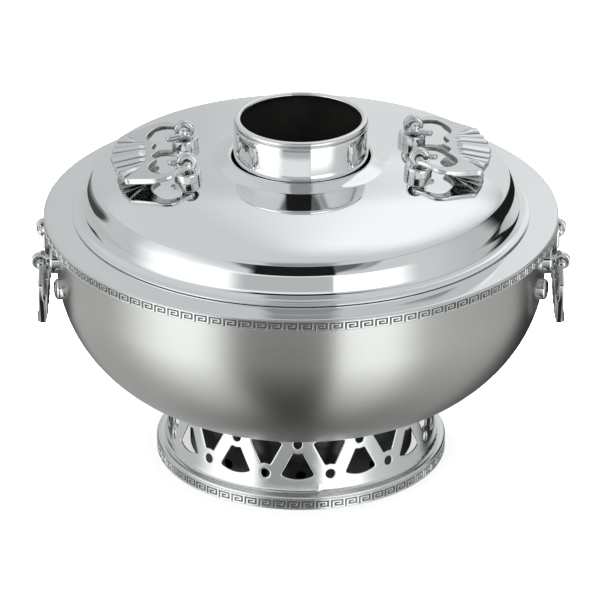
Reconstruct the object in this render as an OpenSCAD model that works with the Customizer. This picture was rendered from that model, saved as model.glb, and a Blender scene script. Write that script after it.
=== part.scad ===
// Chimney hot pot: a footed bowl with a charcoal chimney through its middle,
// a lift-off ring lid, and four hinged cast pulls. Origin at the centre of the
// foot, +Z up, front towards -Y. Millimetres.

/* [Pot] */
// Outer radius of the rim flange
rim_r = 150; // [149:0.5:152]
// Height of the flat top of the rim
rim_z = 153.4; // [152:0.2:155]
// Depth of the turned-down rim skirt
skirt_h = 7; // [6:0.5:8]
// Radius of the mouth that the lid drops into
mouth_r = 130; // [129.6:0.1:130.4]
// Greatest outer radius of the bowl
bowl_r = 142.9; // [142:0.1:143.6]
// Height of the flat ring under the bowl
bowl_z = 42; // [41.9:0.05:42]
// Thickness of the pot's sheet
pot_t = 1.2; // [1:0.1:1.3]

/* [Chimney] */
// Outer radius of the chimney tube inside its sleeve
flue_r = 37.9; // [37.6:0.1:38]
// Outer radius of the polished sleeve
sleeve_r = 39.1; // [38.8:0.1:39.3]
// Height of the chimney's top
flue_top = 211; // [206:0.5:216]
// Inner radius of the rolled lip
lip_inner_r = 34.8; // [34:0.1:35]
// Outer radius of the rolled lip
lip_outer_r = 38.7; // [38.2:0.1:39]
// Thickness of the fire cone and chimney tube
flue_t = 1.1; // [1:0.1:1.3]

/* [Fire] */
// Outer radius of the fire drum inside the stand
drum_r = 65; // [64.8:0.1:65.2]
// Radius of the lift-out grate
grate_r = 32.3; // [31:0.1:32.4]
// Thickness of the grate
grate_t = 3; // [2.5:0.5:4]
// Width of the slots in the grate
grate_slot = 4; // [3:0.5:5]
// Number of draught holes round the drum
draught_n = 18; // [12:1:22]

/* [Lid] */
// Outer radius of the lid's lip
lid_r = 133.4; // [132.5:0.1:134]
// Thickness of the lid's sheet
lid_t = 1; // [0.8:0.1:1.1]
// Radius of the hole that clears the chimney
lid_hole_r = 40.3; // [40.1:0.1:41]

/* [Stand] */
// Outer radius of the foot ring
foot_r = 86; // [85:0.5:88]
// Height of the foot ring's shoulder
foot_h = 8.6; // [8.6:0.1:8.6]
// Outer radius of the stand's wall at the bottom
stand_r1 = 80; // [80:0.1:80.4]
// Outer radius of the stand's wall at the top
stand_r2 = 76.5; // [76.4:0.1:77]
// Number of repeats of the pierced pattern
pierce_n = 13; // [11:1:13]
// Half angle of each fan-shaped hole, degrees
pierce_a = 27; // [22:1:27]

/* [Pulls] */
// How far the lid is turned on the pot, degrees
lid_turn = 3.1; // [0:0.1:6]
// Distance of the lid pulls' hinge from the middle
lid_hinge_x = 66.8; // [66.4:0.2:67.6]
// Height of the lid pulls' hinge
lid_hinge_z = 194.4; // [194.2:0.1:195]
// Droop of the resting right lid pull below level, degrees
lid_pull_right_a = 9.6; // [8:0.1:10.9]
// Droop of the resting left lid pull below level, degrees
lid_pull_left_a = 10.9; // [8:0.1:10.9]
// Distance of the side pulls' hinge from the middle
side_hinge_x = 151.3; // [151.3:0.1:152.5]
// Height of the side pulls' hinge
side_hinge_z = 130.7; // [130:0.1:131.5]
// Half of the distance between a pull's two eyes
eye_y = 23.5; // [23.5:0.1:23.5]
// Radius of the peg that turns in each eye
peg_r = 2.2; // [1.9:0.05:2.25]
// Radius of the hole through each eye
eye_bore_r = 2.6; // [2.5:0.05:2.8]
// Thickness of a pull's arms
pull_t = 3; // [2.6:0.1:3.2]

/* [Hidden] */
$fn = 96;

mirror_steel = [0.82, 0.82, 0.83];
satin_steel = [0.62, 0.62, 0.61];
sooty_steel = [0.16, 0.15, 0.15];
grate_iron = [0.12, 0.12, 0.12];

// ---- curves -------------------------------------------------------------
function bz(a, b, c, d, n) = [for (i = [0:n]) let (t = i / n, s = 1 - t)
    s*s*s*a + 3*s*s*t*b + 3*s*t*t*c + t*t*t*d];
function tail(v) = [for (i = [1:len(v)-1]) v[i]];
function rev(v) = [for (i = [len(v)-1:-1:0]) v[i]];
function unit(v) = v / norm(v);
function left(v) = [-v[1], v[0]];
// the curve moved t to its left, with mitred corners
function beside(p, t) = [for (i = [0:len(p)-1])
    let (n1 = left(unit(p[max(i,1)] - p[max(i,1)-1])),
         n2 = left(unit(p[min(i,len(p)-2)+1] - p[min(i,len(p)-2)])))
    p[i] + t * (n1 + n2) / (1 + n1*n2)];
function arc(c, r, a0, a1, n) = [for (i = [0:n]) let (a = a0 + (a1-a0)*i/n) c + r*[cos(a), sin(a)]];
function rrect(x0, x1, y0, y1, r, n=6) = concat(
    arc([x1-r, y1-r], r, 0, 90, n), arc([x0+r, y1-r], r, 90, 180, n),
    arc([x0+r, y0+r], r, 180, 270, n), arc([x1-r, y0+r], r, 270, 360, n));
// smooth line through hand-chosen points
function crom(p, n) = concat([p[0]], [for (i = [0:len(p)-2], j = [1:n])
    let (a = p[max(i-1,0)], b = p[i], c = p[i+1], d = p[min(i+2,len(p)-1)], t = j/n)
    0.5*(2*b + (c-a)*t + (2*a-5*b+4*c-d)*t*t + (3*b-a-3*c+d)*t*t*t)]);

module sheet(curve, t) polygon(concat(curve, rev(beside(curve, t))));
module turned(curve, t) rotate_extrude($fn = 128) sheet(curve, t);

// ---- profiles (radius, height), outer faces ------------------------------
bowl_curve = concat([[60, bowl_z]],
    bz([75.5, bowl_z], [126.6, 55.8], [bowl_r, 95], [bowl_r, 121], 22),
    [[bowl_r-0.2, 132], [bowl_r-0.7, 142], [bowl_r-1.3, rim_z-pot_t]]);

function bowl_at(z) = lookup(z, [for (p = tail(bowl_curve)) [p[1], p[0]]]);

rim_curve = concat([[rim_r-0.4, rim_z-skirt_h], [rim_r-0.4, rim_z-1.6]],
    tail(arc([rim_r-2, rim_z-1.6], 1.6, 0, 90, 6)),
    [[mouth_r+1.2, rim_z]], tail(arc([mouth_r+1.2, rim_z-1.2], 1.2, 90, 180, 4)), [[mouth_r, rim_z-4.4]]);

cone_curve = concat([[70, bowl_z+pot_t+flue_t]],
    bz([66.5, bowl_z+pot_t+flue_t], [62.5, bowl_z+pot_t+flue_t], [61.6, 46.8], [60.2, 51], 8),
    bz([44, 99.6], [40, 111.6], [flue_r, 116], [flue_r, 126], 8));

lid_z0 = rim_z + 0.1;
lid_dome = bz([117.6, 175.4], [104, 181.4], [78, 184.2], [51.4, 185.2], 18);
lid_curve = concat(
    arc([lid_r-0.7, lid_z0+lid_t/2], lid_t/2+0.2, -20, 85, 5),
    bz([131, lid_z0+lid_t+0.1], [127.6, lid_z0+lid_t+0.4], [126.2, 158.4], [125.7, 162.4], 10),
    tail(bz([125.7, 162.4], [125.1, 167.4], [122.4, 173.2], [117.6, 175.4], 12)),
    tail(lid_dome),
    tail(bz([51.4, 185.2], [49.4, 185.3], [46, 186.9], [42.2, 187.8], 6)),
    tail(arc([lid_hole_r+1.3, 186.5], 1.3, 62, 180, 6)),
    [[lid_hole_r, 184.4]]);

function lid_top(r) = lookup(r, [for (p = rev(lid_dome)) [p[0], p[1]]]);
function lid_slope(r) = atan((lid_top(r-1.5) - lid_top(r+1.5)) / 3);

// ---- pot -----------------------------------------------------------------
module bowl() color(satin_steel) difference() {
    turned(bowl_curve, pot_t);
    for (s = [-1, 1], y = [-eye_y, eye_y])
        translate([s*136, y, side_hinge_z]) rotate([0, s*90, 0]) cylinder(r = 2.6, h = 10);
}

module rim_flange() color(mirror_steel) {
    rotate_extrude($fn = 128) {
        sheet(rim_curve, pot_t);
        translate([rim_r-0.4, rim_z-skirt_h+0.1]) square([0.35, 0.5]);
        translate([rim_r-0.4, rim_z-2.1]) square([0.35, 0.5]);
    }
}

module fire_cone() color(sooty_steel) turned(cone_curve, flue_t);
module flue_tube() color(sooty_steel) rotate_extrude($fn = 128)
    polygon([[flue_r-flue_t, 126.02], [flue_r, 126.02], [flue_r, flue_top-3.7], [flue_r-flue_t, flue_top-3.7]]);

module chimney_sleeve() color(mirror_steel)
    rotate_extrude($fn = 128) polygon([[flue_r+0.05, 150], [sleeve_r-0.6, 150], [sleeve_r, 150.6],
        [sleeve_r, flue_top-3.55], [sleeve_r-0.3, flue_top-3.25], [flue_r+0.05, flue_top-3.25]]);

module chimney_lip_ring() color(mirror_steel) rotate_extrude($fn = 128) {
    polygon(rrect(lip_inner_r, lip_outer_r, flue_top-2.95, flue_top, 1.45));
    translate([flue_r-flue_t, flue_top-3.68]) square([flue_t-0.1, 1.2]);
}

// ---- fire parts ------------------------------------------------------------
module fire_drum() color(sooty_steel) difference() {
    turned([[drum_r, 4], [drum_r, bowl_z], [drum_r+7, bowl_z]], -1);
    for (k = [0:draught_n-1]) rotate([0, 0, (k+0.5)*360/draught_n])
        translate([drum_r-4, 0, 12]) rotate([0, 90, 0]) cylinder(r = 3, h = 6, $fn = 24);
}

module fire_bed() color(sooty_steel)
    turned([[drum_r-1.05, 15.5], [drum_r-1.05, 21], [33.6, 21], [33.6, 19.2], [29, 19.2]], 1);

module fire_grate() color(grate_iron) translate([0, 0, 19.3]) difference() {
    union() {
        cylinder(r = grate_r, h = grate_t - 0.6);
        cylinder(r = grate_r - 0.8, h = grate_t);
    }
    for (i = [-3:3]) let (x = i*7.4, l = 2*sqrt(26*26 - x*x))
        translate([x-grate_slot/2, -l/2, -1]) cube([grate_slot, l, grate_t+2]);
}

module drum_floor() color(sooty_steel) rotate_extrude($fn = 128)
    polygon([[0, 4], [drum_r-1.5, 4], [drum_r-1.05, 4.4], [drum_r-1.05, 4.8], [0, 4.8]]);

// ---- stand -----------------------------------------------------------------
module fan_hole(dir) intersection() {
    difference() { circle(r = 21.3); circle(r = 6.15); }
    polygon([[0, 0], 30*[sin(pierce_a), dir*cos(pierce_a)], 30*[-sin(pierce_a), dir*cos(pierce_a)]]);
}

module stand_drum() color(mirror_steel) difference() {
    rotate_extrude($fn = 128) difference() {
        sheet([[stand_r1+1.4, foot_h], [stand_r1+0.5, foot_h+1], [stand_r1, foot_h+2.6], [stand_r2, bowl_z], [72.6, bowl_z]], 1.2);
        translate([70, foot_h-3]) square([20, 3]);
    }
    for (k = [0:pierce_n-1]) {
        rotate([0, 0, -1.4 + k*360/pierce_n]) rotate([90, 0, 0]) translate([0, 38, 70]) linear_extrude(14) {
            circle(r = 2.65, $fn = 32);
            fan_hole(-1);
        }
        rotate([0, 0, -1.4 + (k+0.5)*360/pierce_n]) rotate([90, 0, 0]) translate([0, 19.3, 70]) linear_extrude(14) {
            circle(r = 2.7, $fn = 32);
            fan_hole(1);
        }
    }
}

module foot_ring() color(mirror_steel) rotate_extrude($fn = 128) {
    sheet(concat([[foot_r-0.4, 0], [foot_r-0.4, foot_h-1.9]],
        tail(arc([foot_r-2.1, foot_h-1.9], 1.7, 0, 60, 4)),
        [[foot_r-3.4, foot_h], [78.3, foot_h], [78.3, foot_h+6]]), 1.2);
    translate([foot_r-0.4, 0.15]) square([0.35, 0.5]);
    translate([foot_r-0.4, foot_h-2.4]) square([0.35, 0.5]);
}

// ---- hinge posts ------------------------------------------------------------
module eye_ring(r) rotate([90, 0, 0]) rotate_extrude($fn = 64)
    polygon(concat([[0, -2.25]], arc([r-0.8, -1.45], 0.8, -90, 0, 4), arc([r-0.8, 1.45], 0.8, 0, 90, 4), [[0, 2.25]]));
module eye_bore() translate([0, 5, 0]) rotate([90, 0, 0]) cylinder(r = eye_bore_r, h = 10, $fn = 48);

// a lid post stands square on the lid, its eye on the pulls' hinge line
lid_post_r = norm([lid_hinge_x, eye_y]);
lid_post_a = lid_slope(lid_post_r - 0.6);
lid_post_h = (lid_hinge_z - lid_top(lid_post_r)) * cos(lid_post_a);
lid_post_c = lid_post_r - lid_post_h*sin(lid_post_a);
module at_lid_post(s, y) rotate([0, 0, lid_turn + atan2(y, s*lid_hinge_x)])
    translate([lid_post_c, 0, lid_top(lid_post_c)]) rotate([0, lid_post_a, 0]) children();
module at_lid_eye(s, y) rotate([0, 0, lid_turn]) translate([s*lid_hinge_x, y, lid_hinge_z]) children();
module lid_post(s, y) color(mirror_steel) difference() {
    union() {
        at_lid_post(s, y) rotate_extrude($fn = 64)
            polygon(concat([[0, -7], [2.5, -7], [2.5, 0.03], [7.8, 0.03], [8.1, 0.5]], arc([7.3, 5], 0.8, 0, 90, 4), [[0, 5.8]]));
        at_lid_eye(s, y) eye_ring(5.9);
    }
    at_lid_eye(s, y) eye_bore();
}

module at_side_post(s, y) translate([s*side_hinge_x, y, side_hinge_z]) rotate([0, s*90, 0])
    translate([0, 0, -10.8]) children();
module side_post(s, y) color(mirror_steel) difference() {
    union() {
        at_side_post(s, y) rotate_extrude($fn = 64)
            polygon(concat([[0, -3], [7.6, -3]], arc([4.8, 2.6], 2.8, 0, 55, 5), [[3.6, 5.7], [0, 6.3]]));
        translate([s*side_hinge_x, y, side_hinge_z]) eye_ring(5.1);
    }
    translate([s*side_hinge_x, y, side_hinge_z]) eye_bore();
    translate([0, 0, side_hinge_z-20]) cylinder(r = bowl_r-0.05, h = 40, $fn = 128);
}
module side_shank(s, y) color(mirror_steel)
    at_side_post(s, y) translate([0, 0, -7.6]) cylinder(r = 2.5, h = 8.6, $fn = 32);

module side_post_full(s, y) color(mirror_steel) union() { side_post(s, y); side_shank(s, y); }

module side_post_washers() color(mirror_steel) for (s = [-1, 1], y = [-eye_y, eye_y]) difference() {
    intersection() {
        translate([s*132, y, side_hinge_z]) rotate([0, s*90, 0]) cylinder(r = 6, h = 14, $fn = 48);
        translate([0, 0, side_hinge_z-8]) cylinder(r = bowl_r-pot_t-0.45, h = 16, $fn = 128);
    }
    translate([0, 0, side_hinge_z-9]) cylinder(r = bowl_r-pot_t-1.45, h = 18, $fn = 128);
    translate([s*130, y, side_hinge_z]) rotate([0, s*90, 0]) cylinder(r = 2.55, h = 18, $fn = 32);
}

// domed hexagon nut, standing on z = 0 and pointing down
module cap_nut() difference() {
    union() {
        translate([0, 0, -3.6]) cylinder(r = 4.6, h = 3.6, $fn = 6);
        rotate_extrude($fn = 48) polygon(concat([[0, -3.4], [3.9, -3.4]], arc([0, -3.6], 3.9, 0, -90, 8)));
    }
    translate([0, 0, -5.2]) cylinder(r = 2.52, h = 6, $fn = 32);
}

module side_post_nuts() color(mirror_steel) for (s = [-1, 1], y = [-eye_y, eye_y])
    at_side_post(s, y) translate([0, 0, -3.4]) cap_nut();

module side_stop_studs() color(mirror_steel) difference() {
    for (s = [0, 180], a = [-13.8, 13.8]) rotate([0, 0, s+a]) translate([0, 0, 117.4]) rotate([0, 90, 0])
        rotate_extrude($fn = 64) polygon(concat([[0, 140], [6.2, 140]], arc([5.1, 145.8], 1.1, 0, 90, 5), [[0, 147.1]]));
    translate([0, 0, 100]) cylinder(r = bowl_r-0.05, h = 40, $fn = 128);
}

// ---- lid -----------------------------------------------------------------
module lid_shell() color(mirror_steel) difference() {
    turned(lid_curve, lid_t);
    for (s = [-1, 1], y = [-eye_y, eye_y]) at_lid_post(s, y) translate([0, 0, -4]) cylinder(r = 2.6, h = 6, $fn = 32);
}

module lid_locating_ring() color(mirror_steel) rotate_extrude($fn = 128)
    polygon([[mouth_r-1.6, 148.6], [mouth_r-0.6, 148], [mouth_r-0.6, lid_z0+0.3], [mouth_r-1.6, lid_z0+0.5]]);

module lid_post_washers() color(mirror_steel) for (s = [-1, 1], y = [-eye_y, eye_y])
    at_lid_post(s, y) translate([0, 0, -lid_t-1.1]) difference() {
        cylinder(r = 6, h = 1, $fn = 48);
        translate([0, 0, -1]) cylinder(r = 2.6, h = 3, $fn = 32);
    }

module lid_post_nuts() color(mirror_steel) for (s = [-1, 1], y = [-eye_y, eye_y])
    at_lid_post(s, y) translate([0, 0, -lid_t-1.13]) cap_nut();

// ---- pulls -----------------------------------------------------------------
// one casting: X runs from the hinge to the fan, Y along the hinge, Z out of the ribbed face
pull_face = 0.75; // height of the ribbed face over the hinge line
pull_rim = [[43.9, 0], [43.4, 7.3], [42, 15], [40.5, 21.4], [37.4, 28.4], [36.4, 31.2], [33.6, 32.4],
            [30, 34], [26, 35.8], [22, 37.4], [18, 38.8], [14.5, 39.4], [11, 39.1], [8, 37.6], [5.4, 34.6], [2.6, 32], [-0.6, 29.8]];
pull_hole = [[2.2, 26.4], [3.4, 28.4], [5.2, 30], [7.8, 31.7], [11.6, 33.3], [15.6, 33], [18.9, 30], [21.3, 26],
             [22.3, 21.8], [21.6, 18], [19.7, 14.6], [17.2, 11.6]];
pull_knob = [[17.2, 11.6], [18.4, 9.2], [19.5, 6.8], [19.4, 4.5], [17.6, 2.2], [15.3, 0]];
pull_half = concat(crom(pull_rim, 2), [[-2.2, 27.8], [-2.2, 26.4]], crom(pull_hole, 2), tail(crom(pull_knob, 2)));

module pull_outline() polygon(concat(pull_half, rev([for (p = pull_half) if (p[1] > 0.01) [p[0], -p[1]]])));

// lines between the ribs of one half, from the knob side to the rim
rib_in = [[23.4, 0], [22.8, 5.5], [22.6, 12], [23.8, 15], [25.2, 17.4]];
rib_out = [[43.3, 0], [42.7, 7.3], [41.3, 15], [39.7, 21.2], [36.2, 29.6]];
function flip(p, s) = [p[0], s*p[1]];
module rib(a, b, c, d, e, top) translate([0, 0, -1]) linear_extrude(top+1) polygon([
    a + e*unit(b-a) + 1.5*e*unit(d-a), b + e*unit(a-b) + 1.5*e*unit(c-b),
    c + e*unit(d-c) + 0.6*e*unit(b-c), d + e*unit(c-d) + 0.6*e*unit(a-d)]);
module pull_ribs(e, top) {
    rib(flip(rib_in[1], -1), rib_in[1], rib_out[1], flip(rib_out[1], -1), e, top);
    for (s = [-1, 1], i = [1:3])
        rib(flip(rib_in[i], s), flip(rib_in[i+1], s), flip(rib_out[i+1], s), flip(rib_out[i], s), e, top);
}

module pull() {
    translate([0, 0, pull_face-pull_t]) linear_extrude(pull_t) pull_outline();
    translate([0, 0, pull_face-pull_t-1]) linear_extrude(2) intersection() {
        pull_outline();
        translate([19, -45]) square([30, 90]);
    }
    pull_ribs(0.3, pull_face+0.7);
    pull_ribs(0.8, pull_face+1.4);
    for (s = [-1, 1]) {
        translate([0, s*30, 0]) rotate([s*90, 0, 0]) cylinder(r = peg_r, h = 12, $fn = 48);
        translate([0.6, s*18, 0.9]) sphere(r = 2.9, $fn = 48);
        translate([-1.5, s*16.9, -1]) rotate([0, 90, 0]) cylinder(r = 2, h = 10.8, $fn = 32);
        for (x = [-1.5, 9.3]) translate([x, s*16.9, -1]) sphere(r = 2, $fn = 32);
    }
}

module lid_pull_right() color(mirror_steel)
    rotate([0, 0, lid_turn]) translate([lid_hinge_x, 0, lid_hinge_z]) rotate([0, lid_pull_right_a, 0]) pull();
module lid_pull_left() color(mirror_steel)
    rotate([0, 0, lid_turn+180]) translate([lid_hinge_x, 0, lid_hinge_z]) rotate([0, lid_pull_left_a, 0]) pull();
module side_pull_right() color(mirror_steel)
    translate([side_hinge_x, 0, side_hinge_z]) rotate([0, 90, 0]) pull();
module side_pull_left() color(mirror_steel)
    rotate([0, 0, 180]) translate([side_hinge_x, 0, side_hinge_z]) rotate([0, 90, 0]) pull();

bowl();
rim_flange();
fire_cone();
flue_tube();
chimney_sleeve();
chimney_lip_ring();
fire_drum();
fire_bed();
drum_floor();
fire_grate();
stand_drum();
foot_ring();
side_post_full(-1, -eye_y);  // side_post_left_front
side_post_full(-1, eye_y);  // side_post_left_rear
side_post_full(1, -eye_y);  // side_post_right_front
side_post_full(1, eye_y);  // side_post_right_rear
side_post_washers();
side_post_nuts();
side_stop_studs();
lid_shell();
lid_locating_ring();
lid_post(-1, -eye_y);  // lid_post_left_front
lid_post(-1, eye_y);  // lid_post_left_rear
lid_post(1, -eye_y);  // lid_post_right_front
lid_post(1, eye_y);  // lid_post_right_rear
lid_post_washers();
lid_post_nuts();
lid_pull_left();
lid_pull_right();
side_pull_left();
side_pull_right();
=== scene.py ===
import math

import bmesh
import bpy
import numpy as np
from mathutils import Matrix, Vector
from mathutils.geometry import delaunay_2d_cdt


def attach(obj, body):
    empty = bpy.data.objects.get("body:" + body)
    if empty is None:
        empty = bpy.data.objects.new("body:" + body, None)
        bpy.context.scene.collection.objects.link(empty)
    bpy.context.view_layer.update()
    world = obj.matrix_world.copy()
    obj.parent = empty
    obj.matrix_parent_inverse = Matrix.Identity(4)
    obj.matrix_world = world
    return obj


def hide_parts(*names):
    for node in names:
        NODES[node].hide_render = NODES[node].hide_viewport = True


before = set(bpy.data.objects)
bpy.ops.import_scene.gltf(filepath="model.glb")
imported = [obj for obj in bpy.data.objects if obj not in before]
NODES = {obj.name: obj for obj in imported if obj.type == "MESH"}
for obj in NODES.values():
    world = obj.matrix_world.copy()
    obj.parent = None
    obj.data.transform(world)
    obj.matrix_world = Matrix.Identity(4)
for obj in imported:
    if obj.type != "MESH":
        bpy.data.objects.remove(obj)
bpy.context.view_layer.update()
scene = bpy.context.scene
MM = 0.001

# ---------------------------------------------------------------- camera
cam_data = bpy.data.cameras.new("camera")
cam_data.sensor_fit = "HORIZONTAL"
cam_data.sensor_width = 36.0
cam_data.lens = 268.734
cam_data.clip_start = 0.05
cam_data.clip_end = 60
camera = bpy.data.objects.new("camera", cam_data)
camera.location = (-0.0006, -2.372585, 1.236347)
camera.rotation_euler = (math.radians(64.288), 0, 0)
scene.collection.objects.link(camera)
scene.camera = camera
scene.view_settings.view_transform = "Standard"
scene.view_settings.look = "None"


# ---------------------------------------------------------------- node helpers
class Tree:
    """Short names for building shader nodes."""

    def __init__(self, tree):
        self.t = tree
        self.n = tree.nodes
        self.l = tree.links
        for x in list(self.n):
            self.n.remove(x)

    def node(self, kind, **props):
        x = self.n.new(kind)
        for k, v in props.items():
            setattr(x, k, v)
        return x

    def put(self, socket, value):
        if hasattr(value, "is_output") or isinstance(value, bpy.types.NodeSocket):
            self.l.new(value, socket)
        else:
            socket.default_value = value

    def math(self, op, a, b=None, c=None, clamp=False):
        x = self.node("ShaderNodeMath", operation=op, use_clamp=clamp)
        self.put(x.inputs[0], a)
        if b is not None:
            self.put(x.inputs[1], b)
        if c is not None:
            self.put(x.inputs[2], c)
        return x.outputs[0]

    def add(self, a, b): return self.math("ADD", a, b)
    def sub(self, a, b): return self.math("SUBTRACT", a, b)
    def mul(self, a, b): return self.math("MULTIPLY", a, b)
    def mx(self, a, b): return self.math("MAXIMUM", a, b)
    def mn(self, a, b): return self.math("MINIMUM", a, b)

    def step(self, x, lo, hi, a=0.0, b=1.0):
        """smooth step of x from lo to hi, between the values a and b"""
        m = self.node("ShaderNodeMapRange", interpolation_type="SMOOTHSTEP", clamp=True)
        self.put(m.inputs["Value"], x)
        if lo > hi:
            lo, hi, a, b = hi, lo, b, a
        m.inputs["From Min"].default_value = lo
        m.inputs["From Max"].default_value = hi
        m.inputs["To Min"].default_value = a
        m.inputs["To Max"].default_value = b
        return m.outputs["Result"]

    def band(self, x, lo, hi, soft_lo, soft_hi):
        return self.mul(self.step(x, lo - soft_lo, lo + soft_lo), self.step(x, hi + soft_hi, hi - soft_hi))

    def lerp(self, f, a, b):
        m = self.node("ShaderNodeMix", data_type="FLOAT")
        self.put(m.inputs[0], f)
        self.put(m.inputs[2], a)
        self.put(m.inputs[3], b)
        return m.outputs[0]

    def mix(self, f, a, b, blend="MIX"):
        m = self.node("ShaderNodeMix", data_type="RGBA", blend_type=blend)
        self.put(m.inputs[0], f)
        self.put(m.inputs[6], a)
        self.put(m.inputs[7], b)
        return m.outputs[2]

    def noise(self, vec, scale, detail=3.0, rough=0.5, dist=0.0):
        x = self.node("ShaderNodeTexNoise")
        if vec is not None:
            self.l.new(vec, x.inputs["Vector"])
        x.inputs["Scale"].default_value = scale
        x.inputs["Detail"].default_value = detail
        x.inputs["Roughness"].default_value = rough
        x.inputs["Distortion"].default_value = dist
        return x.outputs["Fac"]

    def ramp(self, f, stops, interp="LINEAR"):
        r = self.node("ShaderNodeValToRGB")
        r.color_ramp.interpolation = interp
        e = r.color_ramp.elements
        while len(e) < len(stops):
            e.new(0.5)
        for el, (p, c) in zip(e, stops):
            el.position = p
            el.color = (*c, 1) if len(c) == 3 else c
        self.put(r.inputs[0], f)
        return r.outputs[0]

    def combine(self, x, y, z):
        c = self.node("ShaderNodeCombineXYZ")
        for s, v in zip(c.inputs, (x, y, z)):
            self.put(s, v)
        return c.outputs[0]

    def bump(self, height, strength, distance, normal=None):
        b = self.node("ShaderNodeBump")
        b.inputs["Strength"].default_value = strength
        b.inputs["Distance"].default_value = distance
        self.put(b.inputs["Height"], height)
        if normal is not None:
            self.l.new(normal, b.inputs["Normal"])
        return b.outputs[0]


def rgb(v, tint=(1, 1, 1)):
    return (v * tint[0], v * tint[1], v * tint[2], 1.0)


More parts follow.
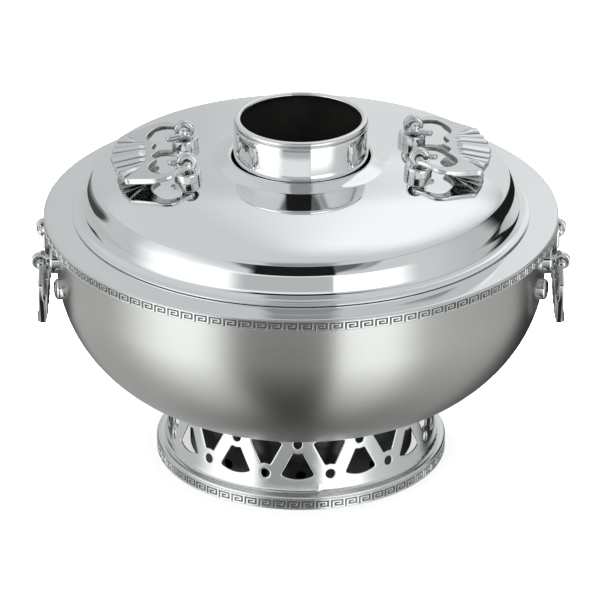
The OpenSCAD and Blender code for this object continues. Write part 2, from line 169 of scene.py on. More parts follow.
# ---------------------------------------------------------------- studio
def studio():
    world = bpy.data.worlds.new("studio")
    scene.world = world
    world.use_nodes = True
    T = Tree(world.node_tree)
    tc = T.node("ShaderNodeTexCoord").outputs["Generated"]
    sep = T.node("ShaderNodeSeparateXYZ")
    T.l.new(tc, sep.inputs[0])
    x, y, z = sep.outputs
    deg = 180 / math.pi
    A = T.mul(T.math("ARCTAN2", x, T.mul(y, -1.0)), deg)      # 0 towards the camera side, + to the right
    E = T.mul(T.math("ARCSINE", T.math("MINIMUM", T.math("MAXIMUM", z, -1.0), 1.0)), deg)
    D = T.add(A, T.mul(T.math("LESS_THAN", A, 0.0), 360.0))   # the same turn, unbroken behind the pot
    absA = T.math("ABSOLUTE", A)
    # tent roof, duller at its top and over the camera side
    L = T.add(T.mul(x, -0.03), 0.64)
    L = T.lerp(T.step(E, 70, 84), L, 0.50)
    spread = T.sub(absA, T.mul(T.mx(T.sub(E, 50.0), 0.0), 0.8))
    L = T.lerp(T.mul(T.step(spread, 27, 14), T.step(E, 36, 44)), L, 0.31)
    # window behind, right of the middle
    sill = T.sub(E, T.step(D, 174, 186, 0.0, 8.0))
    window = T.mul(T.mul(T.step(D, 138, 162), T.step(D, 190, 172)), T.mul(T.step(sill, 17, 26), T.step(E, 68, 50)))
    L = T.lerp(window, L, 1.02)
    # low part of the tent and the table's sweep
    low = T.step(E, 34, 24)
    L = T.lerp(T.mul(low, T.step(A, -80, -100)), L, 0.56)
    L = T.lerp(T.mul(low, T.step(A, 100, 118)), L, 0.52)
    L = T.lerp(T.mul(low, T.mul(T.step(D, 150, 168), T.step(D, 210, 192))), L, T.step(D, 174, 185.5, 0.87, 0.58))
    L = T.lerp(T.mul(T.step(E, 25, 23), T.step(absA, 60, 50)), L, T.step(E, 9, 14, 0.50, 0.88))
    # the table: bright further out, dim close to the pot and on the camera side
    L = T.lerp(T.step(E, -24, -46), L, T.step(E, -82, -44, 0.09, 0.44))
    L = T.lerp(T.mul(T.step(absA, 46, 24), T.step(E, -8, -22)), L, T.step(E, -60, -22, 0.02, 0.24))
    down = T.step(E, -52, -22, 0.45, 1.0)
    # large soft box, left
    boxl = T.mul(T.band(A, -80, -37, 20, 10), T.band(E, -70, 20, 18, 12))
    L = T.lerp(boxl, L, T.mul(down, 1.62))
    # large soft box, right, and the duller panel beside it, under the edge of the roof sheet
    roof_line = T.add(T.mul(T.step(A, 26, 66), 9.5), T.add(T.mul(T.step(A, 82, 124), -13.0), 27.0))
    under = T.sub(E, roof_line)
    panel = T.mul(T.mul(T.step(A, 12, 20), T.step(under, 1.0, -1.5)), T.step(E, -44, -24))
    L = T.lerp(panel, L, T.add(T.step(A, 60, 104, 0.64, 0.52), T.step(A, 128, 152, 0.0, 0.22)))
    edge = T.mul(T.band(A, 30, 120, 8, 8), T.band(under, -0.5, 3.0, 1.4, 1.6))
    L = T.lerp(T.mul(edge, 0.8), L, 0.23)
    boxr = T.mul(T.band(A, 16.5, 52, 1.0, 12), T.band(E, -70, 17, 18, 5))
    L = T.lerp(boxr, L, T.mul(down, 1.62))
    # dark opening over the camera side, with a thin wedge to each side
    gap = T.mul(T.band(A, -27, 18.5, 3.0, 1.0), T.band(E, 24, 38, 0.7, 1.6))
    wedge_foot = T.add(T.mul(T.mx(T.sub(absA, 15.0), 0.0), 0.28), 25.5)
    wedge = T.mul(T.mul(T.step(T.sub(E, wedge_foot), -1.5, 2.5), T.step(E, 39.5, 36.5)), T.step(absA, 52, 30))
    L = T.lerp(T.mul(wedge, 0.9), L, 0.07)
    L = T.lerp(gap, L, 0.012)
    # dark room beyond the right-hand panel
    r_far = T.mn(T.add(T.mul(E, -1.13), 147.0), 172.0)
    r_near = T.add(T.mul(E, -0.30), 121.0)
    dark_r = T.mul(T.mul(T.step(T.sub(A, r_near), -11.0, 3.0), T.step(T.sub(A, r_far), 2.5, -2.5)), T.band(E, -52, 20, 8, 4))
    L = T.lerp(dark_r, L, 0.012)
    # and a dimmer one behind on the left
    l_far = T.mx(T.add(T.mul(E, 1.9), -134.0), -172.0)
    l_near = T.add(T.mul(E, 0.8), -123.0)
    dark_l = T.mul(T.mul(T.step(T.sub(A, l_far), -4.0, 4.0), T.step(T.sub(A, l_near), 3.0, -3.0)), T.band(E, -36, 5, 5, 3))
    L = T.lerp(dark_l, L, 0.06)
    col = T.mix(T.step(E, 10, 60), rgb(1.0, (0.965, 1.0, 1.01)), rgb(1.0, (0.955, 1.0, 1.03)))
    bg = T.node("ShaderNodeBackground")
    T.l.new(col, bg.inputs["Color"])
    T.l.new(L, bg.inputs["Strength"])
    plain = T.node("ShaderNodeBackground")
    plain.inputs["Color"].default_value = (1, 1, 1, 1)
    plain.inputs["Strength"].default_value = 1.0
    lp = T.node("ShaderNodeLightPath")
    m = T.node("ShaderNodeMixShader")
    T.l.new(lp.outputs["Is Camera Ray"], m.inputs[0])
    T.l.new(bg.outputs[0], m.inputs[1])
    T.l.new(plain.outputs[0], m.inputs[2])
    out = T.node("ShaderNodeOutputWorld")
    T.l.new(m.outputs[0], out.inputs[0])

    # table: a pale sweep; what the polished steel sees of it is the lower half of the world
    fm = bpy.data.materials.new("pale_floor")
    fm.use_nodes = True
    F = Tree(fm.node_tree)
    geo = F.node("ShaderNodeNewGeometry")
    n1 = F.noise(geo.outputs["Position"], 40, 4, 0.6)
    p = F.node("ShaderNodeBsdfPrincipled")
    F.put(p.inputs["Base Color"], F.mix(n1, rgb(0.90), rgb(0.93)))
    p.inputs["Roughness"].default_value = 0.75
    p.inputs["Specular IOR Level"].default_value = 0.15
    p.inputs["Emission Color"].default_value = (1, 1, 1, 1)
    p.inputs["Emission Strength"].default_value = 0.62
    o = F.node("ShaderNodeOutputMaterial")
    F.l.new(p.outputs[0], o.inputs[0])
    me = bpy.data.meshes.new("floor")
    w, near, far = 2.2, -1.7, 2.4
    pts, r = [], 0.35
    for cx, cy, a0 in ((w - r, far - r, 0), (-w + r, far - r, 90), (-w + r, near + r, 180), (w - r, near + r, 270)):
        for k in range(13):
            a = math.radians(a0 + 90 * k / 12)
            pts.append((cx + r * math.cos(a), cy + r * math.sin(a), -0.0002))
    me.from_pydata(pts, [], [list(range(len(pts)))])
    me.materials.append(fm)
    floor = bpy.data.objects.new("floor", me)
    scene.collection.objects.link(floor)
    floor.visible_glossy = False

    lamp = bpy.data.lights.new("overhead_soft", "AREA")
    lamp.shape = "DISK"
    lamp.size = 2.6
    lamp.energy = 190
    lo = bpy.data.objects.new("overhead_soft", lamp)
    lo.location = (0.1, 0.1, 2.2)
    scene.collection.objects.link(lo)
    lo.visible_glossy = False
    lo.visible_camera = False


studio()


# ---------------------------------------------------------------- materials
def new_mat(name):
    m = bpy.data.materials.new(name)
    m.use_nodes = True
    T = Tree(m.node_tree)
    p = T.node("ShaderNodeBsdfPrincipled")
    o = T.node("ShaderNodeOutputMaterial")
    T.l.new(p.outputs[0], o.inputs[0])
    p.inputs["Metallic"].default_value = 1.0
    return m, T, p


def position(T):
    return T.node("ShaderNodeNewGeometry").outputs["Position"]


def lathe_coord(T, around, fine):
    """a seamless coordinate: slow round the axis, fast along the profile"""
    s = T.node("ShaderNodeSeparateXYZ")
    T.l.new(position(T), s.inputs[0])
    x, y, z = s.outputs
    r = T.math("SQRT", T.add(T.mul(x, x), T.mul(y, y)))
    cx = T.math("DIVIDE", x, T.mx(r, 0.001))
    cy = T.math("DIVIDE", y, T.mx(r, 0.001))
    d = T.add(r, z)
    return T.combine(T.mul(cx, around), T.mul(cy, around), T.mul(d, fine)), r, z


def mirror_material(name, tone, rough, wave=0.25, tint=(1, 1, 1), grain=0.12):
    m, T, p = new_mat(name)
    pos = position(T)
    smear = T.noise(pos, 14, 4, 0.55, 0.4)
    spots = T.noise(pos, 420, 2, 0.6)
    coord, r, z = lathe_coord(T, 3.0, 900.0)
    lines = T.noise(coord, 1.0, 3, 0.6)
    c = T.mix(smear, rgb(tone * 0.965, tint), rgb(tone, tint))
    c = T.mix(T.step(spots, 0.66, 0.8, 0.0, 0.25), c, rgb(tone * 0.86, tint))
    T.put(p.inputs["Base Color"], c)
    rr = T.add(T.mul(T.step(smear, 0.35, 0.75), rough * 0.8), rough * 0.7)
    rr = T.add(rr, T.mul(T.step(lines, 0.5, 0.75), rough * 0.7))
    T.put(p.inputs["Roughness"], rr)
    big = T.noise(pos, 26, 2, 0.5)
    b1 = T.bump(big, wave * 0.10, 0.0016)
    b2 = T.bump(lines, grain * 0.10, 0.00002, b1)
    T.l.new(b2, p.inputs["Normal"])
    return m


def satin_material(name, tone, rough, aniso, tint=(1, 1, 1)):
    m, T, p = new_mat(name)
    pos = position(T)
    coord, r, z = lathe_coord(T, 5.0, 2600.0)
    fine = T.noise(coord, 1.0, 4, 0.65)
    coord2, _, _ = lathe_coord(T, 9.0, 520.0)
    coarse = T.noise(coord2, 1.0, 3, 0.6)
    cloud = T.noise(pos, 18, 3, 0.5)
    c = T.mix(fine, rgb(tone * 0.90, tint), rgb(tone * 1.06, tint))
    c = T.mix(T.mul(coarse, 0.35), c, rgb(tone * 0.88, tint))
    c = T.mix(T.step(cloud, 0.45, 0.8, 0.0, 0.25), c, rgb(tone * 1.08, tint))
    T.put(p.inputs["Base Color"], c)
    T.put(p.inputs["Roughness"], T.add(T.mul(fine, rough * 0.22), T.add(T.mul(cloud, rough * 0.12), rough * 0.83)))
    p.inputs["Anisotropic"].default_value = aniso
    p.inputs["Anisotropic Rotation"].default_value = 0.25
    tg = T.node("ShaderNodeTangent", direction_type="RADIAL", axis="Z")
    T.l.new(tg.outputs[0], p.inputs["Tangent"])
    b = T.bump(fine, 0.16, 0.00003)
    b = T.bump(coarse, 0.12, 0.00004, b)
    T.l.new(b, p.inputs["Normal"])
    return m


def relief_material(name, tone, rough, tint=(1, 1, 1)):
    """bright metal whose hollows, marked in the mesh, get painted shade: darker and rougher there"""
    m, T, p = new_mat(name)
    pos = position(T)
    at = T.node("ShaderNodeAttribute", attribute_name="cavity", attribute_type="GEOMETRY")
    cav = at.outputs["Fac"]
    n1 = T.noise(pos, 900, 3, 0.6)
    n2 = T.noise(pos, 90, 4, 0.55)
    # painted shade in the marked hollows, mottled a little by noise
    hollow_shade = T.mul(cav, T.step(n2, 0.2, 0.7, 0.8, 1.0))
    c = T.mix(n2, rgb(tone * 0.95, tint), rgb(tone * 1.03, tint))
    c = T.mix(hollow_shade, c, rgb(tone * 0.15, (1.0, 0.99, 0.95)))
    T.put(p.inputs["Base Color"], c)
    rr = T.add(T.mul(n1, rough * 0.6), T.add(T.mul(hollow_shade, 0.22), rough * 0.7))
    T.put(p.inputs["Roughness"], rr)
    b = T.bump(n1, 0.10, 0.00004)
    b = T.bump(T.noise(pos, 210, 2, 0.5), 0.10, 0.0003, b)
    T.l.new(b, p.inputs["Normal"])
    return m


def flue_material():
    """bright outside, sooted inside: told apart by which way the wall faces"""
    m, T, p = new_mat("flue_steel")
    g = T.node("ShaderNodeNewGeometry")
    s = T.node("ShaderNodeSeparateXYZ")
    T.l.new(g.outputs["Position"], s.inputs[0])
    k = T.node("ShaderNodeSeparateXYZ")
    T.l.new(g.outputs["True Normal"], k.inputs[0])
    dot = T.add(T.mul(s.outputs[0], k.outputs[0]), T.mul(s.outputs[1], k.outputs[1]))
    outside = T.math("GREATER_THAN", dot, 0.0)
    coord, r, z = lathe_coord(T, 5.0, 1500.0)
    fine = T.noise(coord, 1.0, 4, 0.6)
    soot = T.noise(g.outputs["Position"], 60, 5, 0.6)
    bright = T.mix(fine, rgb(0.55), rgb(0.66))
    # heat colour low on the outside of the cone
    heat = T.mul(T.step(z, 0.085, 0.05), T.step(soot, 0.3, 0.7))
    bright = T.mix(T.mul(heat, 0.45), bright, (0.42, 0.33, 0.22, 1))
    black = T.mix(soot, rgb(0.004), (0.022, 0.020, 0.018, 1))
    T.put(p.inputs["Base Color"], T.mix(outside, black, bright))
    T.put(p.inputs["Metallic"], T.lerp(outside, 0.15, 1.0))
    T.put(p.inputs["Roughness"], T.lerp(outside, T.add(T.mul(soot, 0.25), 0.42), T.add(T.mul(fine, 0.12), 0.20)))
    b = T.bump(T.lerp(outside, soot, fine), 0.25, 0.0001)
    T.l.new(b, p.inputs["Normal"])
    return m


def drum_shade_material():
    m, T, p = new_mat("fire_steel")
    pos = position(T)
    coord, r, z = lathe_coord(T, 5.0, 1500.0)
    fine = T.noise(coord, 1.0, 4, 0.6)
    soot = T.noise(pos, 55, 5, 0.62)
    # the drum's steel is painted near black for the shade inside the stand, with darker soot patches on it
    c = T.mix(fine, rgb(0.050), rgb(0.072))
    c = T.mix(T.step(soot, 0.35, 0.72, 0.0, 0.8), c, (0.018, 0.016, 0.014, 1))
    T.put(p.inputs["Base Color"], c)
    p.inputs["Metallic"].default_value = 0.85
    T.put(p.inputs["Roughness"], T.add(T.mul(soot, 0.25), 0.20))
    b = T.bump(fine, 0.15, 0.00004)
    b = T.bump(soot, 0.2, 0.0002, b)
    T.l.new(b, p.inputs["Normal"])
    return m


def iron_material():
    m, T, p = new_mat("grate_iron")
    pos = position(T)
    n1 = T.noise(pos, 420, 5, 0.65)
    n2 = T.noise(pos, 70, 4, 0.6)
    c = T.mix(n1, rgb(0.020), rgb(0.048))
    c = T.mix(T.step(n2, 0.55, 0.8, 0.0, 0.6), c, (0.075, 0.045, 0.030, 1))
    T.put(p.inputs["Base Color"], c)
    p.inputs["Metallic"].default_value = 0.4
    T.put(p.inputs["Roughness"], T.add(T.mul(n1, 0.25), 0.52))
    b = T.bump(n1, 0.6, 0.00025)
    T.l.new(b, p.inputs["Normal"])
    return m


M_LID = mirror_material("lid_mirror", 0.93, 0.028, 0.22)
M_RIM = mirror_material("rim_mirror", 0.90, 0.05, 0.15)
M_SLEEVE = mirror_material("sleeve_mirror", 0.93, 0.030, 0.10)
M_STAND = mirror_material("stand_polish", 0.84, 0.17, 0.3, grain=0.8)
M_SATIN = satin_material("bowl_satin", 0.68, 0.32, 0.80, (1.015, 1.0, 0.94))
M_BAND = relief_material("band_relief", 0.80, 0.16, (1.0, 1.0, 0.98))
M_CAST = relief_material("cast_polish", 0.80, 0.06)
M_FLUE = flue_material()
M_FIRE = drum_shade_material()
M_IRON = iron_material()


# ---------------------------------------------------------------- mesh helpers
def make(name, verts, faces, mats, body, nodes=(), angle=35, mat_index=None, cavity=None, recalc=False):
    me = bpy.data.meshes.new(name)
    verts = np.asarray(verts, float) * MM
    me.from_pydata(verts.tolist(), [], faces if isinstance(faces, list) else faces.tolist())
    for m in (mats if isinstance(mats, (list, tuple)) else [mats]):
        me.materials.append(m)
    if mat_index is not None:
        me.polygons.foreach_set("material_index", np.asarray(mat_index, np.int32))
    if cavity is not None:
        # cavity marks where the relief material paints shade
        at = me.attributes.new("cavity", "FLOAT", "POINT")
        at.data.foreach_set("value", np.asarray(cavity, np.float32))
    if recalc:
        bm = bmesh.new()
        bm.from_mesh(me)
        bmesh.ops.remove_doubles(bm, verts=bm.verts, dist=1e-7)
        bmesh.ops.recalc_face_normals(bm, faces=bm.faces)
        bm.to_mesh(me)
        bm.free()
    me.shade_smooth()
    if angle:
        me.set_sharp_from_angle(angle=math.radians(angle))
    me.validate()
    ob = bpy.data.objects.new(name, me)
    scene.collection.objects.link(ob)
    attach(ob, body)
    if nodes:
        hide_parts(*nodes)
    return ob


def arc(cx, cy, r, a0, a1, n):
    return [(cx + r * math.cos(math.radians(a0 + (a1 - a0) * i / n)), cy + r * math.sin(math.radians(a0 + (a1 - a0) * i / n))) for i in range(n + 1)]


def bz(a, b, c, d, n):
    t = np.linspace(0, 1, n + 1)[:, None]
    a, b, c, d = (np.array(v, float) for v in (a, b, c, d))
    return [tuple(v) for v in (1 - t) ** 3 * a + 3 * (1 - t) ** 2 * t * b + 3 * (1 - t) * t * t * c + t ** 3 * d]


def beside(p, t):
    p = np.asarray(p, float)
    d = np.diff(p, axis=0)
    d /= np.linalg.norm(d, axis=1)[:, None]
    nrm = np.stack([-d[:, 1], d[:, 0]], 1)
    n1 = np.vstack([nrm[:1], nrm])
    n2 = np.vstack([nrm, nrm[-1:]])
    return p + t * (n1 + n2) / (1 + (n1 * n2).sum(1))[:, None]


def sheet(curve, t, edge=0.3):
    """closed section of a sheet with eased ends"""
    p = np.asarray(curve, float)
    q = beside(p, t)

    def ease(a, b, da, db):
        da, db = da / np.linalg.norm(da), db / np.linalg.norm(db)
        e = min(edge, abs(t) * 0.45)
        ab = (b - a) / np.linalg.norm(b - a)
        ca, cb = a + da * e + ab * e, b + db * e - ab * e
        out = []
        for c, s, f in ((ca, -ab, -da), (cb, -db, ab)):
            for k in range(4):
                w = math.radians(30 * k)
                out.append(c + e * (math.cos(w) * s + math.sin(w) * f))
        return out
    end = ease(p[-1], q[-1], p[-2] - p[-1], q[-2] - q[-1])
    start = ease(q[0], p[0], q[1] - q[0], p[1] - p[0])
    return [tuple(v) for v in p[1:-1]] + [tuple(v) for v in end] + [tuple(v) for v in q[1:-1][::-1]] + [tuple(v) for v in start]


def lathe(section, seg=360):
    P = np.asarray(section, float)
    n = len(P)
    a = np.arange(seg) * 2 * math.pi / seg
    v = np.empty((seg, n, 3))
    v[:, :, 0] = P[None, :, 0] * np.cos(a)[:, None]
    v[:, :, 1] = P[None, :, 0] * np.sin(a)[:, None]
    v[:, :, 2] = P[None, :, 1]
    i, j = np.meshgrid(np.arange(seg), np.arange(n), indexing="ij")
    i2, j2 = (i + 1) % seg, (j + 1) % n
    f = np.stack([i * n + j, i2 * n + j, i2 * n + j2, i * n + j2], -1).reshape(-1, 4)
    # outward when the section runs anticlockwise in (r, z)
    x, y = P[:, 0], P[:, 1]
    if (x * np.roll(y, -1) - np.roll(x, -1) * y).sum() < 0:
        f = f[:, ::-1]
    return v.reshape(-1, 3), f


# ---------------------------------------------------------------- key fret
FRET = ["########",
        "#.......",
        "#.#####.",
        "#.#...#.",
        "#.#.###.",
        "#.#.....",
        "#.######"]


def fret_band(section_fn, z0, z1, units, depth, phase=0.0):
    """A lathe whose outer wall from z0 to z1 carries the key fret as relief.
    section_fn() gives the closed section as (r, z) anticlockwise with a gap: it starts at the top of the fret and ends at its foot."""
    cols, rows = len(FRET[0]), len(FRET)
    cw = 2 * math.pi / (units * cols)
    ch = (z1 - z0) / rows
    e = 0.20                                   # half width of a slope, in cells
    raised = np.array([[c == "#" for c in row] for row in FRET])[::-1]      # row 0 at the foot
    th, col = [], []
    for u in range(units):
        for c in range(cols):
            base = (u * cols + c) * cw
            th += [base + e * cw, base + (1 - e) * cw]
            col += [c, c]
    th = np.array(th) + phase
    col = np.array(col)
    zz, row = [], []
    for r in range(rows):
        lo = z0 + r * ch
        zz += [lo + e * ch, lo + (1 - e) * ch]
        row += [r, r]
    zz, row = np.array(zz), np.array(row)
    up = raised[row][:, col].T.astype(float)   # (theta, z)
    sec, wall_r = section_fn()
    S = np.asarray(sec, float)
    nz, ns = len(zz), len(S)
    n = nz + ns
    v = np.empty((len(th), n, 3))
    rad = np.empty((len(th), n))
    hgt = np.empty((len(th), n))
    cav = np.zeros((len(th), n))
    rad[:, :nz] = wall_r + up * depth
    hgt[:, :nz] = zz[None]
    # the sunken ground of the fret is marked for painted shade
    cav[:, :nz] = 1 - up
    rad[:, nz:] = S[None, :, 0]
    hgt[:, nz:] = S[None, :, 1]
    v[:, :, 0] = rad * np.cos(th)[:, None]
    v[:, :, 1] = rad * np.sin(th)[:, None]
    v[:, :, 2] = hgt
    m = len(th)
    i, j = np.meshgrid(np.arange(m), np.arange(n), indexing="ij")
    i2, j2 = (i + 1) % m, (j + 1) % n
    f = np.stack([i * n + j, i2 * n + j, i2 * n + j2, i * n + j2], -1).reshape(-1, 4)
    # material 1 on the fret band and its two beads
    fz = (hgt[0, j] + hgt[0, j2]) / 2
    outer = (rad.max(0)[j] > wall_r - 0.6) & (fz <= z1 + 0.9)
    return v.reshape(-1, 3), f, cav.reshape(-1), outer.reshape(-1).astype(np.int32)


# ---------------------------------------------------------------- pot: bowl
RIM_Z, POT_T = 153.4, 1.2
bowl_curve = [(60, 42)] + bz((75.5, 42), (126.6, 55.8), (142.9, 95), (142.9, 121), 90) + \
    bz((142.9, 121), (142.9, 131), (142.6, 141), (141.6, 152.15), 24)[1:]
v, f = lathe(sheet(bowl_curve, POT_T), 384)
make("bowl_body", v, f, M_SATIN, "pot", ["bowl"], 40)


# ---------------------------------------------------------------- pot: rim with key fret
def rim_section():
    top, foot, R = 152.28, 146.85, 149.55
    s = []
    # over the fret: bead, round edge, flat top, mouth edge, down the mouth, back under, inside of the skirt, foot bead
    s += [(R - 0.08, top)] + arc(R + 0.06, top + 0.24, 0.24, -60, 75, 6)
    s += arc(R - 0.87, RIM_Z - 0.87, 0.87, 14, 90, 7)[1:]
    s += [(r, RIM_Z) for r in (147.4, 145.5, 143, 140, 137, 134.5, 132.4)]
    s += arc(131.2, RIM_Z - 1.2, 1.2, 90, 180, 8)
    s += [(130, 151), (130, 149.3), (130.3, 149.05), (130.9, 149.05), (131.2, 149.3), (131.2, 151.4)]
    s += arc(131.9, 151.5, 0.7, 180, 90, 5)[1:]
    s += [(135, 152.2), (140, 152.2), (146.6, 152.2)] + arc(146.9, 150.8, 1.4, 90, 0, 6)[1:]
    s += [(148.3, 149), (148.3, 146.8)] + arc(148.65, 146.75, 0.35, 180, 270, 4)
    s += arc(R + 0.06, 146.68, 0.26, -90, 60, 7) + [(R - 0.08, foot + 0.12)]
    return s, R - 0.08


v, f, cav, mi = fret_band(rim_section, 147.02, 152.22, 110, 0.40, math.radians(0.8))
make("rim_band_flange", v, f, [M_RIM, M_BAND], "pot", ["rim_flange"], 33, mi, cav)


# ---------------------------------------------------------------- foot ring with key fret
def foot_section():
    top, foot, R = 6.42, 0.78, 85.55
    s = [(R - 0.06, top)] + arc(R + 0.05, top + 0.25, 0.26, -60, 80, 6)
    s += arc(83.95, 7.0, 1.5, 8, 70, 8)
    s += bz((84.46, 8.41), (83.9, 8.62), (83.3, 8.6), (82.7, 8.6), 6)[1:]
    s += [(81.6, 8.6), (80.8, 8.6), (80.3, 8.6), (78.55, 8.6), (78.3, 8.85), (78.3, 14.35), (78.05, 14.6), (77.35, 14.6), (77.1, 14.35), (77.1, 7.7)]
    s += arc(77.4, 7.7, 0.3, 180, 270, 3)[1:] + [(80.4, 7.4), (82.6, 7.4)] + arc(82.9, 5.9, 1.5, 90, 0, 6)
    s += [(84.4, 3), (84.4, 0.3)] + arc(84.7, 0.3, 0.3, 180, 270, 3)[1:]
    s += arc(R + 0.05, 0.32, 0.30, -90, 60, 7) + [(R - 0.06, foot - 0.02)]
    return s, R - 0.06


v, f, cav, mi = fret_band(foot_section, 0.80, 6.36, 63, 0.42, math.radians(1.0))
make("foot_band_ring", v, f, [M_STAND, M_BAND], "pot", ["foot_ring"], 33, mi, cav)


# ---------------------------------------------------------------- pierced stand
def stand():
    z0, z1, t = 8.6, 42.0, 1.2
    N, A0, HALF = 13, math.radians(-1.4), math.radians(27)
    pitch = 2 * math.pi / N
    R0 = 78.25

    flare = np.array(bz((81.4, 8.6), (80.7, 9.2), (80.15, 10.2), (79.95, 11.6), 12))

    def rad(z):
        straight = 80.0 + (76.5 - 80.0) * (z - 11.2) / (z1 - 11.2)
        return np.where(z < 11.6, np.interp(z, flare[:, 1], flare[:, 0]), straight)

    def circle(r, n=36):
        a = np.linspace(0, 2 * math.pi, n, endpoint=False)
        return np.stack([np.cos(a), np.sin(a)], 1) * r

    def fan(sign):
        # annular sector, points anticlockwise, corners rounded
        r1, r2, rc = 6.15, 21.3, 0.9
        out = []

        def P(r, a): return np.array([r * math.sin(a), r * math.cos(a)])
        # outer corners: centre at radius r2-rc, held rc from the side line
        ao = math.asin(rc / (r2 - rc))
        ai = math.asin(rc / (r1 + rc))
        co, ci = HALF - ao, HALF - ai
        for a in np.linspace(-co, co, 26):
            out.append(P(r2, a))
        c = P(r2 - rc, co)
        for k in range(1, 7):
            ang = math.pi / 2 - co - (math.pi / 2) * k / 6 * 1.0
            out.append(c + rc * np.array([math.cos(ang), math.sin(ang)]))
        side_a = P((r2 - rc) * math.cos(ao), HALF)
        side_b = P((r1 + rc) * math.cos(ai), HALF)
        for k in range(1, 12):
            out.append(side_a + (side_b - side_a) * k / 12)
        c = P(r1 + rc, ci)
        for k in range(0, 6):
            ang = -HALF - (math.pi / 2 - ai) * k / 6
            out.append(c + rc * np.array([math.cos(ang), math.sin(ang)]))
        for a in np.linspace(ci, -ci, 9)[0:]:
            out.append(P(r1, a))
        left = [np.array([-q[0], q[1]]) for q in out[26:26 + 6 + 11 + 6]][::-1]
        out += left
        out = np.array(out)
        out[:, 1] *= sign
        # even spacing
        d = np.linalg.norm(np.roll(out, -1, 0) - out, axis=1)
        keep = d > 0.02
        out = out[keep]
        d = np.linalg.norm(np.roll(out, -1, 0) - out, axis=1)
        s = np.concatenate([[0], np.cumsum(d)])
        n = int(s[-1] / 0.55)
        q = np.linspace(0, s[-1], n, endpoint=False)
        cl = np.vstack([out, out[:1]])
        return np.stack([np.interp(q, s, cl[:, 0]), np.interp(q, s, cl[:, 1])], 1)

    def outward(loop):
        area = (loop[:, 0] * np.roll(loop[:, 1], -1) - np.roll(loop[:, 0], -1) * loop[:, 1]).sum()
        tng = np.roll(loop, -1, 0) - np.roll(loop, 1, 0)
        tng /= np.linalg.norm(tng, axis=1)[:, None]
        n = np.stack([tng[:, 1], -tng[:, 0]], 1)
        n = n if area > 0 else -n
        for _ in range(2):
            n = n + 0.5 * (np.roll(n, 1, 0) + np.roll(n, -1, 0))
            n /= np.linalg.norm(n, axis=1)[:, None]
        return n

    loops = []
    for k in range(N):
        x = (A0 + k * pitch) * R0
        for shape in (circle(2.65), fan(-1)):
            loops.append((shape, np.array([x, 38.0])))
        x = (A0 + (k + 0.5) * pitch) * R0
        for shape in (circle(2.7), fan(1)):
            loops.append((shape, np.array([x, 19.3])))

    # seam down one slanting strut
    W = 2 * math.pi * R0
    sx = A0 * R0
    seam = [(11.5, z0), (12.2, 14.0), (12.9, 21.9), (10.6, 26.4), (8.3, 30.9), (6.0, 35.4), (5.9, 39.0), (5.8, z1)]
    seam = np.array([(sx + a - W / 2 * 0 - W, b) for a, b in seam])   # left border
    right = seam + np.array([W, 0])
    shift = []
    for shape, c in loops:
        # bring each hole between the two borders
        while c[0] < np.interp(c[1], seam[:, 1], seam[:, 0]) - 1e-6:
            c = c + np.array([W, 0])
        while c[0] > np.interp(c[1], right[:, 1], right[:, 0]):
            c = c - np.array([W, 0])
        shift.append((shape, c))
    loops = shift

    def face(offset, nx=300):
        pts, edges = [], []

        def add_loop(p, closed=True):
            b = len(pts)
            pts.extend([tuple(q) for q in p])
            n = len(p)
            edges.extend([(b + i, b + (i + 1) % n) for i in range(n if closed else n - 1)])
            return list(range(b, b + n))
        xs = np.linspace(0, W, nx + 1)
        bottom = [(seam[0, 0] + x, z0) for x in xs]
        top = [(right[-1, 0] - x, z1) for x in xs]
        border = bottom + [tuple(q) for q in right[1:-1]] + top + [tuple(q) for q in seam[1:-1][::-1]]
        add_loop(border)
        idx = []
        holes = []
        for shape, c in loops:
            o = shape + offset * outward(shape) + c
            idx.append(add_loop(o))
            holes.append(o)
        # fill points, so the wall curves smoothly
        gx = np.arange(seam[:, 0].min() + 1.0, right[:, 0].max(), 1.3)
        gz = np.array([9.0, 9.5, 10.1, 10.8, 11.6, 13.4, 15.4, 17.4, 19.4, 21.4, 23.4, 25.4, 27.4, 29.4, 31.4, 33.4, 35.4, 37.4, 39.2, 40.8])
        X, Z = np.meshgrid(gx, gz)
        q = np.stack([X.ravel(), Z.ravel()], 1)
        lo = np.interp(q[:, 1], seam[:, 1], seam[:, 0]) + 0.7
        hi = np.interp(q[:, 1], right[:, 1], right[:, 0]) - 0.7
        ok = (q[:, 0] > lo) & (q[:, 0] < hi)
        for h in holes:
            near = ok & (np.abs(q[:, 0] - h[:, 0].mean()) < 14)
            ii = np.nonzero(near)[0]
            if len(ii):
                a, b = h, np.roll(h, -1, 0)
                pq = q[ii]
                d = np.sqrt(((pq[:, None] - a[None]) ** 2).sum(-1)).min(1)
                cross = np.zeros(len(ii), bool)
                for (x1, y1), (x2, y2) in zip(a, b):
                    c1 = (y1 > pq[:, 1]) != (y2 > pq[:, 1])
                    with np.errstate(divide="ignore", invalid="ignore"):
                        xi = (x2 - x1) * (pq[:, 1] - y1) / (y2 - y1) + x1
                    cross ^= c1 & (pq[:, 0] < xi)
                ok[ii[(d < 0.55) | cross]] = False
        b0 = len(pts)
        pts.extend([tuple(p) for p in q[ok]])
        vv, ee, ff, ov, oe, of_ = delaunay_2d_cdt([Vector(p) for p in pts], edges, [], 0, 1e-6)
        vv = np.array([tuple(p) for p in vv])
        back = {}
        for i, src in enumerate(ov):
            for s_ in src:
                back[s_] = i
